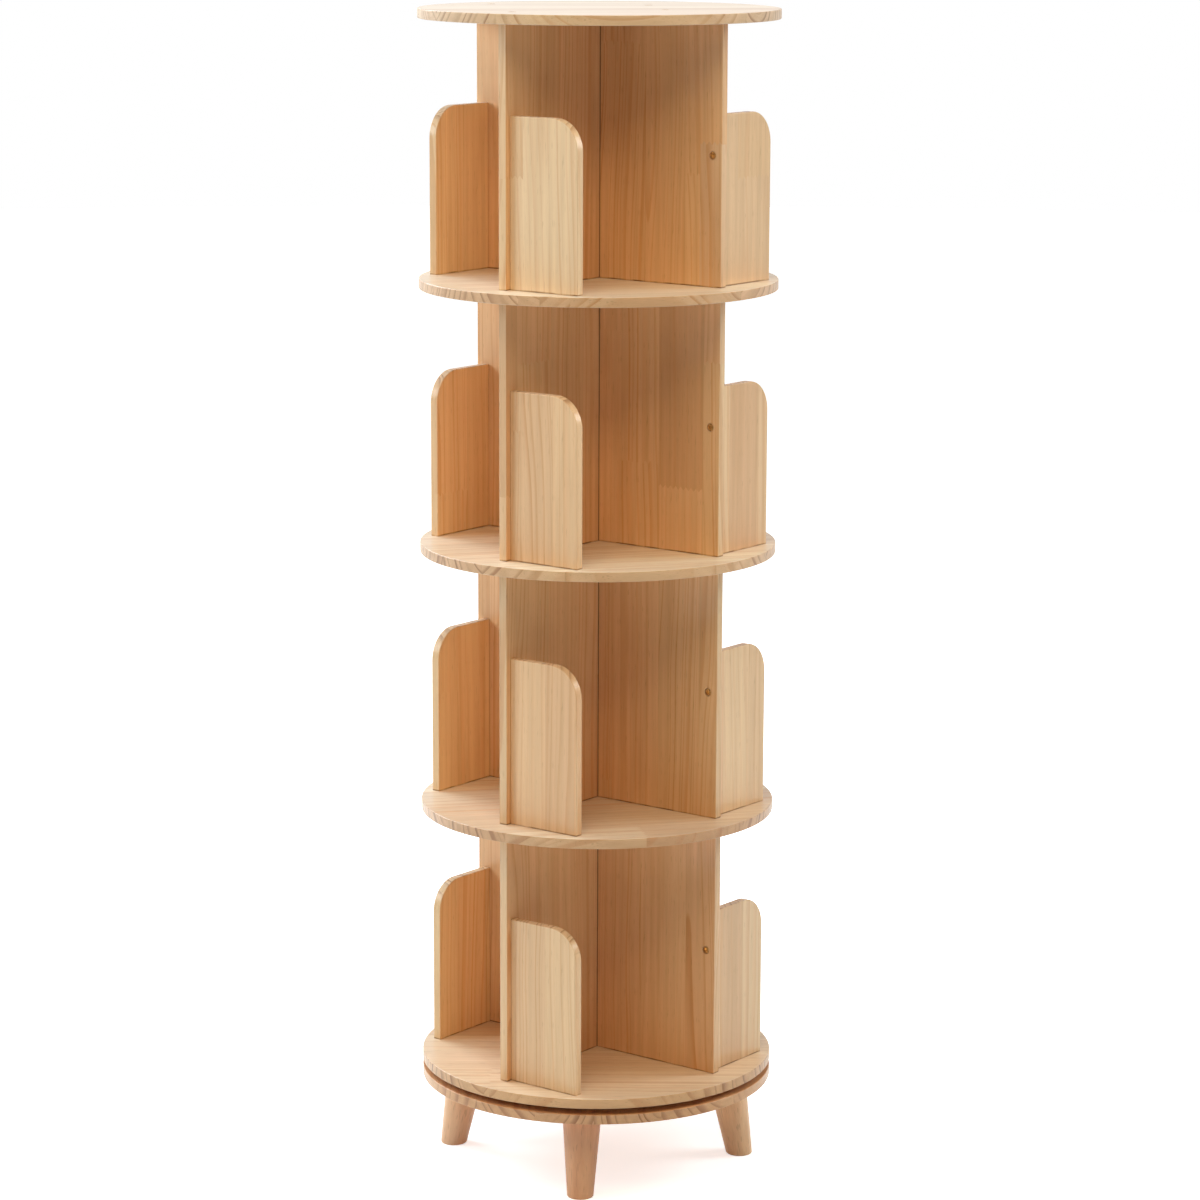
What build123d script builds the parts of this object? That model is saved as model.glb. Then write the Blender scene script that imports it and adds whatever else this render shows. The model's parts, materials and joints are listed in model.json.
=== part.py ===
from build123d import *
from math import atan, atan2, cos, degrees, hypot, pi, radians, sin, sqrt, tan
import os

# Revolving bookcase: four tiers of book bays turn as one carousel over a fixed base on four legs.
# Millimetres, +Z up. The origin is on the floor, on the turning axis.

# Discs: the base, the shelves and the top have one outline
disc_diameter = 400.0
disc_thickness = 11.0

# Tiers
tier_count = 4
bay_height = 285.5  # clear height between two discs
arm_names = ("front", "right", "back", "left")  # each is the one before it, turned by 90 degrees

# Crosses: two boards to a tier, slotted into each other at the axis
wall_thickness = 10.0
wall_rim_inset = 29.5  # from the disc's rim to the end of a wall
lap_clearance = 0.3  # on each side of a board in the other board's slot

# Dividers: one on every arm and square to it, so that the bays make a pinwheel
divider_thickness = 10.0
divider_length = 92.0
divider_height = 187.0
divider_corner_radius = 35.0
divider_set_back = 7.0  # from the end of a wall to the divider's outer face

# Stub tenons that hold the walls and dividers in the shelf below them
tenon_depth = 5.0
tenon_length = 40.0
tenon_shoulder = 2.0  # on each face of the board
wall_tenon_radius = 50.0  # from the axis to the middle of a wall's tenon
mortise_clearance = 0.15  # on each side of a tenon
mortise_floor_gap = 0.4

# Legs
leg_count = 4
leg_height = 94.9
leg_top_diameter = 44.6
leg_foot_diameter = 29.6
leg_rim_inset = 49.0  # from the disc's rim to the middle of the leg's top
leg_splay = 16.0  # how much further out the foot stands than the top
leg_azimuth = 31.5  # of the first leg, in degrees from +X
leg_foot_chamfer = 1.5
leg_sides = 28  # flats round the taper, for lightness

# Turntable: two rings with facing V races and a train of balls between them
turntable_height = 7.1  # the gap between the base and the lowest shelf
ball_circle_diameter = 176.0
ball_pitch = 40.0  # about, along the ball circle
ball_disc_gap = 0.375  # from a ball to the discs above and below it
ball_clearance = 0.1  # from a ball to each flank of the races
ring_width = 16.0  # from the ball circle to the ring's far edge
ring_lip_gap = 1.2  # least gap between the two rings
ring_running_gap = 0.5  # from a ring to the disc that it isn't screwed to
spacer_clearance = 0.3  # from a spacer's edges to the races
spacer_end_gap = 0.5

# Screws: six-sided for lightness, without threads
screw_sides = 6
screw_head_taper = 45.0  # from the screw's axis to the flats under its head, in degrees
screw_clearance = 0.1  # all round a screw in its hole
divider_screw_head = 8.0
divider_screw_shank = 5.0
divider_screw_length = 40.0
divider_screw_drop = 44.0  # from the divider's top edge
disc_screw_head = 8.0
disc_screw_shank = 4.0
disc_screw_length = 40.0
disc_screw_end_inset = 17.5  # from the wall's end, on the front and left arms
disc_screw_tenon_gap = 20.0  # beyond the wall's tenon, on the right and back arms
ring_screw_head = 6.0
ring_screw_shank = 3.0
ring_screw_count = 3
ring_screw_azimuth = 45.0
ring_screw_shelf_left = 4.0  # shelf left above an inner ring's screw
ring_screw_ring_left = 1.0  # ring left above an outer ring's screw
leg_screw_head = 11.0
leg_screw_shank = 6.0
leg_screw_length = 50.0

# Sizes that follow
disc_radius = disc_diameter / 2
wall_reach = disc_radius - wall_rim_inset
divider_middle = wall_reach - divider_set_back - divider_thickness / 2
leg_top_radius = disc_radius - leg_rim_inset
disc_screw_far = wall_reach - disc_screw_end_inset
disc_screw_near = wall_tenon_radius + tenon_length / 2 + disc_screw_tenon_gap
ball_circle_radius = ball_circle_diameter / 2
ball_diameter = turntable_height - 2 * ball_disc_gap
ball_count = round(pi * ball_circle_diameter / ball_pitch)
ball_chord = 2 * ball_circle_radius * sin(pi / ball_count)
race_width = ball_diameter + 2 * ball_clearance  # side of the square that both races enclose
race_depth = race_width / sqrt(2)  # from the ball circle to the bottom of a race
ring_height = turntable_height - ring_running_gap

# Levels above the floor
base_level = leg_height
turntable_level = base_level + disc_thickness
first_shelf_level = turntable_level + turntable_height
tier_pitch = disc_thickness + bay_height
top_level = first_shelf_level + tier_count * tier_pitch
shelf_levels = [first_shelf_level + tier * tier_pitch for tier in range(tier_count)]
stand_levels = [level + disc_thickness for level in shelf_levels]  # where each tier's boards stand


def arms(piece):
    """The front arm's piece, and its copies on the other three arms."""
    return [Rot(0, 0, 90 * index) * piece for index in range(len(arm_names))]


def lifted(pieces, height):
    """Pieces moved up."""
    return [Pos(0, 0, height) * piece for piece in pieces]


def turned_over(pieces):
    """Screws driven up from height 0, on the places of screws driven down from it."""
    return [mirror(piece, about=Plane.XY) for piece in pieces]


def around(piece, radius, count, azimuth):
    """Copies of a piece spaced evenly on a circle."""
    return [place * piece for place in PolarLocations(radius, count, start_angle=azimuth)]


def block(x_middle, y_middle, x_size, y_size, low, high):
    """Box about a place, between two heights."""
    upright = (Align.CENTER, Align.CENTER, Align.MIN)
    return Pos(x_middle, y_middle, low) * Box(x_size, y_size, high - low, align=upright)


# Screws and their holes: a clearance above 0 gives the hole


def screw(head, shank, length, clearance=0.0):
    """Countersunk screw with its head's face at height 0 and its point down."""
    head_depth = (head - shank) / 2 * cos(pi / screw_sides) / tan(radians(screw_head_taper))
    head_face = RegularPolygon(head / 2 + clearance, screw_sides)
    stem_face = RegularPolygon(shank / 2 + clearance, screw_sides)
    cone = extrude(head_face, amount=head_depth, taper=screw_head_taper)
    stem = extrude(stem_face, amount=length + clearance)
    return Rot(180, 0, 0) * (cone + stem)


def divider_screws(clearance=0.0):
    """One tier's screws, from the shelf's face up: through the walls, into the dividers' ends."""
    piece = screw(divider_screw_head, divider_screw_shank, divider_screw_length, clearance)
    place = Pos(-wall_thickness / 2, -divider_middle, divider_height - divider_screw_drop)
    return arms(place * Rot(0, -90, 0) * piece)


def disc_screws(clearance=0.0):
    """The screws from one disc into one cross, driven down from height 0."""
    piece = screw(disc_screw_head, disc_screw_shank, disc_screw_length, clearance)
    places = (
        (0, -disc_screw_far),
        (-disc_screw_far, 0),
        (disc_screw_near, 0),
        (0, disc_screw_near),
    )
    return [Pos(x, y, 0) * piece for x, y in places]


def inner_ring_screws(clearance=0.0):
    """Driven up through the inner ring, into the lowest shelf."""
    length = ring_height + disc_thickness - ring_screw_shelf_left
    piece = screw(ring_screw_head, ring_screw_shank, length, clearance)
    radius = ball_circle_radius - (race_depth + ring_width) / 2
    screws = turned_over(around(piece, radius, ring_screw_count, ring_screw_azimuth))
    return lifted(screws, turntable_level + ring_running_gap)


def outer_ring_screws(clearance=0.0):
    """Driven up through the base, into the outer ring."""
    length = disc_thickness + ring_height - ring_screw_ring_left
    piece = screw(ring_screw_head, ring_screw_shank, length, clearance)
    radius = ball_circle_radius + (race_depth + ring_width) / 2
    screws = turned_over(around(piece, radius, ring_screw_count, ring_screw_azimuth))
    return lifted(screws, base_level)


def leg_screws(clearance=0.0):
    """Driven down through the base, into the tops of the legs."""
    piece = screw(leg_screw_head, leg_screw_shank, leg_screw_length, clearance)
    screws = around(piece, leg_top_radius, leg_count, leg_azimuth)
    return lifted(screws, turntable_level)


# Tenons and their mortises, in the shelf's face at height 0: a clearance above 0 gives the mortise


def tenon(x_middle, y_middle, board_thickness, clearance):
    """Under a board along X."""
    width = board_thickness - 2 * tenon_shoulder + 2 * clearance
    depth = tenon_depth + (mortise_floor_gap if clearance else 0)
    return block(x_middle, y_middle, tenon_length + 2 * clearance, width, -depth, 0)


def wall_tenon(clearance=0.0):
    """On the right arm."""
    return tenon(wall_tenon_radius, 0, wall_thickness, clearance)


def divider_tenon(clearance=0.0):
    """In the middle of the front arm's divider."""
    return tenon((wall_thickness + divider_length) / 2, -divider_middle, divider_thickness, clearance)


def mortises():
    """Every mortise of one shelf."""
    return arms(wall_tenon(mortise_clearance)) + arms(divider_tenon(mortise_clearance))


# Boards


def wall_board(slot_low, slot_high):
    """Upright board along X, standing on height 0, with its half-lap slot and its two tenons."""
    board = block(0, 0, 2 * wall_reach, wall_thickness, 0, bay_height)
    slot_width = wall_thickness + 2 * lap_clearance
    slot = block(0, 0, slot_width, wall_thickness, slot_low, slot_high)
    return board - slot + wall_tenon() + Rot(0, 0, 180) * wall_tenon()


def cross_boards(on_lowest_shelf):
    """The two boards of a cross, bored for the dividers' screws and for the discs' screws."""
    bores = divider_screws(screw_clearance)
    bores += lifted(disc_screws(screw_clearance), bay_height + disc_thickness)
    if on_lowest_shelf:
        bores += lifted(turned_over(disc_screws(screw_clearance)), -disc_thickness)
    left_right = wall_board(bay_height / 2, bay_height)
    front_back = Rot(0, 0, 90) * wall_board(0, bay_height / 2)
    return {"left_right": left_right - bores, "front_back": front_back - bores}


def dividers():
    """One tier's dividers, standing on height 0, with the free upper corner rounded."""
    root = wall_thickness / 2
    outline = Pos(root, 0) * Rectangle(divider_length, divider_height, align=(Align.MIN, Align.MIN))
    free_corner = outline.vertices().sort_by(Axis.X)[-2:].sort_by(Axis.Y)[-1]
    outline = fillet(free_corner, divider_corner_radius)
    board = extrude(Plane.XZ * outline, amount=divider_thickness / 2, both=True)
    board = Pos(0, -divider_middle, 0) * board + divider_tenon()
    return arms(board - divider_screws(screw_clearance))


def disc():
    """Plain disc, standing on height 0."""
    return Cylinder(disc_radius, disc_thickness, align=(Align.CENTER, Align.CENTER, Align.MIN))


def leg():
    """Tapered leg on the +X side, leaning out towards its foot and cut level at both ends."""
    lean = degrees(atan2(leg_splay, leg_height))
    axis_length = hypot(leg_splay, leg_height)
    slope = (leg_top_diameter - leg_foot_diameter) / 2 / axis_length
    spare = leg_top_diameter / 2  # beyond each level cut
    top_face = RegularPolygon(leg_top_diameter / 2 + slope * spare, leg_sides)
    flat_slope = slope * cos(pi / leg_sides)
    taper = extrude(top_face, amount=axis_length + 2 * spare, taper=degrees(atan(flat_slope)))
    leaning = Rot(180, lean, 0) * Pos(0, 0, -axis_length / 2 - spare) * taper
    middle = leg_top_radius + leg_splay / 2
    reach = 2 * (leg_top_diameter + leg_splay)
    level_cuts = block(middle, 0, reach, reach, 0, leg_height)
    turned_leg = Pos(middle, 0, leg_height / 2) * leaning & level_cuts
    foot = turned_leg.faces().sort_by(Axis.Z)[0]
    return chamfer(foot.edges(), leg_foot_chamfer)


# Turntable


def ring(side, low):
    """Ring with a V race, outside the ball circle for side 1 and inside it for side -1."""
    lip = ball_circle_radius + side * ring_lip_gap / 2
    edge = ball_circle_radius + side * ring_width
    corners = [(lip, low), (edge, low), (edge, low + ring_height), (lip, low + ring_height)]
    section = make_face(Polyline(*corners, close=True))
    square_on_edge = Rot(0, 0, 45) * Rectangle(race_width, race_width)
    section -= Pos(ball_circle_radius, turntable_height / 2) * square_on_edge
    return Pos(0, 0, turntable_level) * revolve(Plane.XZ * section, Axis.Z)


def balls():
    """Balls with eighteen flats for lightness, two flats against each race."""
    cube = Box(ball_diameter, ball_diameter, ball_diameter)
    ball = cube & Rot(45, 0, 0) * cube & Rot(0, 45, 0) * cube & Rot(0, 0, 45) * cube
    train = around(ball, ball_circle_radius, ball_count, 0)
    return lifted(train, turntable_level + turntable_height / 2)


def spacers():
    """Bars between the balls, set in from the ball circle by half of their bow to it."""
    length = ball_chord - ball_diameter - 2 * spacer_end_gap
    bow = ball_circle_radius - sqrt(ball_circle_radius**2 - (length / 2) ** 2)
    section = race_depth - bow / 2 - sqrt(2) * spacer_clearance
    bar = Box(section, length, section)
    bars = around(bar, ball_circle_radius - bow / 2, ball_count, 180 / ball_count)
    return lifted(bars, turntable_level + turntable_height / 2)


# Writing: one file for each piece, or for each set of identical small pieces


def save(node, *pieces):
    """One file, with each piece as its own solid."""
    solids = [solid for piece in pieces for solid in piece.solids()]
    export_step(Compound(solids) if len(solids) > 1 else solids[0], f"parts/{node}.step")


os.makedirs("parts", exist_ok=True)

# Fixed base
leg_bores = leg_screws(screw_clearance)
save("base_disc", Pos(0, 0, base_level) * disc() - outer_ring_screws(screw_clearance) - leg_bores)
for index, piece in enumerate(around(leg(), 0, leg_count, leg_azimuth)):
    save(f"leg_{index + 1}", piece - leg_bores)
save("leg_screws", *leg_screws())

# Turntable
save("bearing_outer_ring", ring(1, 0) - outer_ring_screws(screw_clearance))
save("bearing_inner_ring", ring(-1, ring_running_gap) - inner_ring_screws(screw_clearance))
save("outer_ring_screws", *outer_ring_screws())
save("inner_ring_screws", *inner_ring_screws())
save("bearing_balls", *balls())
save("ball_spacers", *spacers())

# Discs of the carousel: each is screwed down onto the cross below it, and the lowest up into its own
upper_bores = lifted(disc_screws(screw_clearance), disc_thickness)
lower_bores = turned_over(disc_screws(screw_clearance))
mortised_disc = disc() - lifted(mortises(), disc_thickness)
for tier, level in enumerate(shelf_levels):
    shelf = Pos(0, 0, level) * (mortised_disc - (upper_bores if tier else lower_bores))
    save(f"shelf_{tier + 1}", shelf if tier else shelf - inner_ring_screws(screw_clearance))
save("top_disc", Pos(0, 0, top_level) * (disc() - upper_bores))

# Screws of those discs
save("top_disc_screws", *lifted(disc_screws(), top_level + disc_thickness))
save("shelf_screws", *[piece for stand in stand_levels[1:] for piece in lifted(disc_screws(), stand)])
save("bottom_shelf_screws", *lifted(turned_over(disc_screws()), first_shelf_level))

# Crosses and dividers of the tiers
tier_dividers = dividers()
for tier, stand in enumerate(stand_levels):
    for facing, board in cross_boards(tier == 0).items():
        save(f"tier_{tier + 1}_wall_{facing}", Pos(0, 0, stand) * board)
    for name, board in zip(arm_names, tier_dividers):
        save(f"tier_{tier + 1}_divider_{name}", Pos(0, 0, stand) * board)
save("divider_screws", *[piece for stand in stand_levels for piece in lifted(divider_screws(), stand)])
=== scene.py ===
import json
import math

import bmesh
import bpy
from mathutils import Matrix, Vector

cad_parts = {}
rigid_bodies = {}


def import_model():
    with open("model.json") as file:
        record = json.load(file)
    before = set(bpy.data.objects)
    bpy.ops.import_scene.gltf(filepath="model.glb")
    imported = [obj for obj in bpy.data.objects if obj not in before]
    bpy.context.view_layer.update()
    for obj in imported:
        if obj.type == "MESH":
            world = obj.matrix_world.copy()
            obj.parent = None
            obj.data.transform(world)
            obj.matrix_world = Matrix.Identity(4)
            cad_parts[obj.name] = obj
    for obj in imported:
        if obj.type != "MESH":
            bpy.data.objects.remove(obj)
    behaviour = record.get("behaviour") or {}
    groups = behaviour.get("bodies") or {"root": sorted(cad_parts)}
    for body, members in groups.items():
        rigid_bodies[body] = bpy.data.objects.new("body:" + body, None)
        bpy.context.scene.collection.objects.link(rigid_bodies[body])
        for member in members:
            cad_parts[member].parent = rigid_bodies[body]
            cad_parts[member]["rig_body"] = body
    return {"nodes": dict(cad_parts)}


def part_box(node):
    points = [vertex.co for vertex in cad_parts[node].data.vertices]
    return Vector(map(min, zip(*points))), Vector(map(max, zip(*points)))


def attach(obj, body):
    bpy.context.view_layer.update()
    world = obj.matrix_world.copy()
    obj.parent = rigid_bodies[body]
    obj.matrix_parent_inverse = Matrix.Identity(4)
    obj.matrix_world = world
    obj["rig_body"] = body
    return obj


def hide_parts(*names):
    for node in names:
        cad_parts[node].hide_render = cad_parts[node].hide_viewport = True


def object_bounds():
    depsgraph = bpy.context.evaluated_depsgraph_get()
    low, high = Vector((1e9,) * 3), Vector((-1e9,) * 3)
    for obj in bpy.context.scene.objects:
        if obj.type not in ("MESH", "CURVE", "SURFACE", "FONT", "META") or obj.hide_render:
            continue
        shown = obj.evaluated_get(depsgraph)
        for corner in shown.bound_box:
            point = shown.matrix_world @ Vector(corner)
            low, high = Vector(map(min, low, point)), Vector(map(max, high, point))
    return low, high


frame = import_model()
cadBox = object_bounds()  # the CAD box, before any new piece
nodes = frame["nodes"]
tierCount = sum(name.startswith("shelf_") and name[6:].isdigit() for name in nodes)
armNames = ("front", "right", "back", "left")
upward = Vector((0, 0, 1))
weld = 0.00001  # points closer than this are one point
near = 0.0002  # a point closer than this to a level lies on it
print("frame loaded,", len(nodes), "nodes,", tierCount, "tiers")


# handling of pieces in object and edit mode

def activate(piece):
    bpy.ops.object.select_all(action="DESELECT")
    piece.select_set(True)
    bpy.context.view_layer.objects.active = piece


def editAll(piece):  # into edit mode with the whole mesh selected
    activate(piece)
    bpy.ops.object.mode_set(mode="EDIT")
    bpy.ops.mesh.select_all(action="SELECT")


def objectMode():
    bpy.ops.object.mode_set(mode="OBJECT")


def selectEdges(piece, wanted):  # in edit mode, the edges that pass a test
    bpy.ops.mesh.select_mode(type="EDGE")
    bpy.ops.mesh.select_all(action="DESELECT")
    mesh = bmesh.from_edit_mesh(piece.data)
    for edge in mesh.edges:
        edge.select_set(wanted(edge))
    bmesh.update_edit_mesh(piece.data)


def selectFaces(piece, wanted):  # in edit mode, the faces that pass a test
    bpy.ops.mesh.select_mode(type="FACE")
    bpy.ops.mesh.select_all(action="DESELECT")
    mesh = bmesh.from_edit_mesh(piece.data)
    for face in mesh.faces:
        face.select_set(wanted(face))
    bmesh.update_edit_mesh(piece.data)


def applyModifier(piece, kind, **values):
    activate(piece)
    bpy.ops.object.modifier_add(type=kind)
    modifier = piece.modifiers[-1]
    for key, value in values.items():
        setattr(modifier, key, value)
    bpy.ops.object.modifier_apply(modifier=modifier.name)


def smoothOff(piece, angle=35):  # smooth shading, with flat faces kept flat
    activate(piece)
    bpy.ops.object.shade_smooth_by_angle(angle=math.radians(angle))
    applyModifier(piece, "WEIGHTED_NORMAL", keep_sharp=True)


def roundEdges(offset, segments):  # of what is selected in edit mode
    bpy.ops.mesh.bevel(offset=offset, segments=segments, profile=0.5, affect="EDGES")


def newCopy(node, flatDegrees=0.4):  # a welded copy of a CAD node's mesh, with its flat faces whole again
    piece = bpy.data.objects.new(node + "_board", nodes[node].data.copy())
    bpy.context.scene.collection.objects.link(piece)
    piece.data.materials.clear()
    activate(piece)
    bpy.ops.mesh.customdata_custom_splitnormals_clear()
    editAll(piece)
    bpy.ops.mesh.remove_doubles(threshold=weld)
    bpy.ops.mesh.dissolve_limited(angle_limit=math.radians(flatDegrees))
    objectMode()
    return piece


def copyTo(pattern, places, name):  # a copy at each place with its own mesh, joined as one piece
    copies = []
    for place in places:
        copy = pattern.copy()
        copy.data = pattern.data.copy()
        bpy.context.scene.collection.objects.link(copy)
        copy.matrix_world = place
        copies.append(copy)
    activate(pattern)
    bpy.ops.object.delete()
    for copy in copies:
        copy.select_set(True)
    bpy.context.view_layer.objects.active = copies[0]
    bpy.ops.object.join()
    piece = bpy.context.active_object
    piece.name = name
    bpy.ops.object.transform_apply(location=True, rotation=True, scale=True)
    return piece


def settle(piece, node, material):  # stands for its node and moves with the node's body
    piece.data.materials.clear()
    piece.data.materials.append(material)
    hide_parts(node)
    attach(piece, nodes[node]["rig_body"])


# wiring of shader nodes

def put(tree, value, socket):  # a socket takes a link or a plain value
    if isinstance(value, bpy.types.NodeSocket):
        tree.links.new(value, socket)
    else:
        socket.default_value = value


def calc(tree, operation, first, second=0.5, third=0.5):
    node = tree.nodes.new("ShaderNodeMath")
    node.operation = operation
    for value, socket in zip((first, second, third), node.inputs):
        put(tree, value, socket)
    return node.outputs[0]


def fade(tree, value, low, high, toLow=0.0, toHigh=1.0):  # smooth step from low to high
    node = tree.nodes.new("ShaderNodeMapRange")
    node.interpolation_type = "SMOOTHSTEP"
    for number, socket in zip((value, low, high, toLow, toHigh), node.inputs):
        put(tree, number, socket)
    return node.outputs[0]


def stretch(tree, value, low, high):  # 0 to 1 onto low to high
    return calc(tree, "MULTIPLY_ADD", value, high - low, low)


def blendValues(tree, share, first, second):
    node = tree.nodes.new("ShaderNodeMix")
    for value, socket in zip((share, first, second), (node.inputs[0], node.inputs[2], node.inputs[3])):
        put(tree, value, socket)
    return node.outputs[0]


def blendColors(tree, share, first, second, how="MIX"):
    node = tree.nodes.new("ShaderNodeMix")
    node.data_type = "RGBA"
    node.blend_type = how
    put(tree, share, node.inputs[0])
    put(tree, first, node.inputs[6])
    put(tree, second, node.inputs[7])
    return node.outputs[2]


def joinXyz(tree, x, y, z):
    node = tree.nodes.new("ShaderNodeCombineXYZ")
    for value, socket in zip((x, y, z), node.inputs):
        put(tree, value, socket)
    return node.outputs[0]


def splitXyz(tree, vector):
    node = tree.nodes.new("ShaderNodeSeparateXYZ")
    tree.links.new(vector, node.inputs[0])
    return node.outputs


def reachOf(tree, x, y):  # distance from an axis
    return calc(tree, "SQRT", calc(tree, "ADD", calc(tree, "POWER", x, 2), calc(tree, "POWER", y, 2)))


def noise(tree, vector, scale, detail, roughness):
    node = tree.nodes.new("ShaderNodeTexNoise")
    tree.links.new(vector, node.inputs["Vector"])
    node.inputs["Scale"].default_value = scale
    node.inputs["Detail"].default_value = detail
    node.inputs["Roughness"].default_value = roughness
    return node.outputs[0]


def grainNoise(tree, place, form, seed=0.0):  # noise drawn out along the grain, and moved on by a seed
    draw, step, scale, detail, roughness = form
    x, y, z = place
    z = calc(tree, "MULTIPLY_ADD", seed, step, calc(tree, "MULTIPLY", z, draw))
    return noise(tree, joinXyz(tree, x, y, z), scale, detail, roughness)


def noiseAlong(tree, value, scale, detail=1.0):  # noise along one number
    node = tree.nodes.new("ShaderNodeTexNoise")
    node.noise_dimensions = "1D"
    put(tree, value, node.inputs["W"])
    node.inputs["Scale"].default_value = scale
    node.inputs["Detail"].default_value = detail
    return node.outputs[0]


def cellsAlong(tree, value, spread, feature="F1"):  # cells of uneven width along one number
    node = tree.nodes.new("ShaderNodeTexVoronoi")
    node.voronoi_dimensions = "1D"
    node.feature = feature
    put(tree, value, node.inputs["W"])
    node.inputs["Scale"].default_value = 1.0
    node.inputs["Randomness"].default_value = spread
    return node


def newMaterial(name):
    material = bpy.data.materials.new(name)
    material.use_nodes = True
    shader = material.node_tree.nodes["Principled BSDF"]
    return material, material.node_tree, shader


def placed(tree, turn, shift):  # the surface's normal, and Object coordinates turned to the grain
    place = tree.nodes.new("ShaderNodeTexCoord")
    mapping = tree.nodes.new("ShaderNodeMapping")
    mapping.inputs["Rotation"].default_value = turn.to_euler("XYZ")
    mapping.inputs["Location"].default_value = shift
    tree.links.new(place.outputs["Object"], mapping.inputs["Vector"])
    return place.outputs["Normal"], mapping.outputs[0]


def bumpFrom(tree, shader, height, look):
    node = tree.nodes.new("ShaderNodeBump")
    node.inputs["Strength"].default_value = look["bumpStrength"]
    node.inputs["Distance"].default_value = look["bumpDistance"]
    tree.links.new(height, node.inputs["Height"])
    tree.links.new(node.outputs[0], shader.inputs["Normal"])


# pine: planks glued edge to edge, some finger-jointed, cut from one solid pattern of growth rings

pineLook = {
    "early": (0.85, 0.588, 0.338, 1.0),  # pale wood between the rings
    "late": (0.68, 0.340, 0.140, 1.0),  # the dark part of a ring
    "blush": (0.85, 0.555, 0.318, 1.0),  # pinkish planks
    "heart": (0.60, 0.32, 0.15, 1.0),  # now and then a reddish plank
    "heartFrom": (0.91, 0.94),  # where it begins and where it is full
    "heartShare": 0.40,
    "band": (0.66, 0.37, 0.18, 1.0),  # soft reddish bands along the grain
    "bandFrom": (0.46, 0.74),
    "bandShare": 0.34,
    "endGrain": (0.70, 0.46, 0.275, 1.0),  # where the saw cut across the grain
    "endShare": 0.6,
    "endLate": (0.40, 0.20, 0.095, 1.0),  # and its rings
    "endContrast": 0.95,
    "endFacing": (0.35, 0.85),  # from here a surface faces along the grain
    "sandedFacing": (0.6, 0.9),  # and from here it is a board's flat face
    "plankSpread": 0.55,
    "pieceLength": 0.55,  # between the finger joints of one plank
    "pieceShift": 61.0,  # the joints of one plank lie elsewhere on the next
    "pieceSpread": 0.8,
    "blockShift": 17.3,  # seed step inside a block of other wood
    "fingerPitch": 0.007,
    "fingerDepth": 0.004,
    "pithNear": 0.030,
    "pithFar": 0.130,
    "turnSpread": 0.20,  # how far a plank's cut turns, in half turns
    "turnLeast": 0.28,  # so that none is cut flat
    "drift": 0.035,  # how far the rings run out of line, a metre
    "wanderReach": 0.012,
    "ringSpread": (1.3, 0.75),  # ring density and contrast differ from plank to plank
    "contrastSpread": (0.30, 1.20),
    "unevenScale": 0.45,  # years of wide and narrow rings
    "unevenReach": 2.4,
    "lateRise": (0.48, 0.91),  # the dark part comes slowly and ends at once
    "lateFall": (0.93, 1.0),
    "ringLuck": (0.28, 1.1),  # how dark the faintest and the strongest rings are
    # noise along the grain: share of its length, step with the seed, scale, detail, roughness
    "fibre": (0.02, 0.0, 1300.0, 2.0, 0.6),
    "streak": (0.03, 0.0, 140.0, 2.0, 0.5),
    "resin": (0.06, 0.0, 1000.0, 0.0, 0.5),
    "wander": (0.25, 3.0, 16.0, 1.0, 0.5),
    "cloud": (0.25, 3.0, 5.0, 2.0, 0.5),
    "jointPatches": (0.25, 3.0, 45.0, 1.0, 0.5),
    "bands": (0.08, 1.7, 42.0, 3.0, 0.6),
    "resinFrom": (0.70, 0.80),
    # light at the low and the high end of each pattern
    "plankLight": (0.93, 1.04),
    "streakLight": (0.86, 1.13),
    "fibreLight": (0.93, 1.07),
    "cloudLight": (0.95, 1.05),
    "resinLight": (1.0, 0.84),
    "warmth": (1.2, 1.45),  # powers of green and blue, because what is dark is warmer
    "seamWidth": 0.0005,
    "seamShade": 0.9,
    "groove": 0.0009,  # width of the dark line where boards meet, partly painted shade
    "grooveShade": 0.42,
    "footReach": (1.2, 2.0),  # of the line over a shelf, in grooves
    "jointPatchFrom": (0.35, 0.6),
    "jointPatchLeast": 0.25,
    "roughness": (0.46, 0.62),
    "fibreRough": 0.16,
    "endRough": 0.1,
    "ior": 1.48,
    "specular": 0.28,
    "coatRoughness": 0.22,  # satin varnish, pale at a low angle
    "sheen": 0.12,  # fine fibres that catch the light
    "sheenRoughness": 0.35,
    "bumpStrength": 0.22,
    "bumpDistance": 0.0003,
    "lateHeight": 0.45,
    "fibreHeight": 0.5,
    "seamHeight": 1.2,
}


def fingers(tree, across):  # how far the teeth of a finger joint reach along the plank
    tooth = calc(tree, "PINGPONG", across, pineLook["fingerPitch"] / 2)
    return calc(tree, "MULTIPLY", tooth, 2 * pineLook["fingerDepth"] / pineLook["fingerPitch"])


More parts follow.
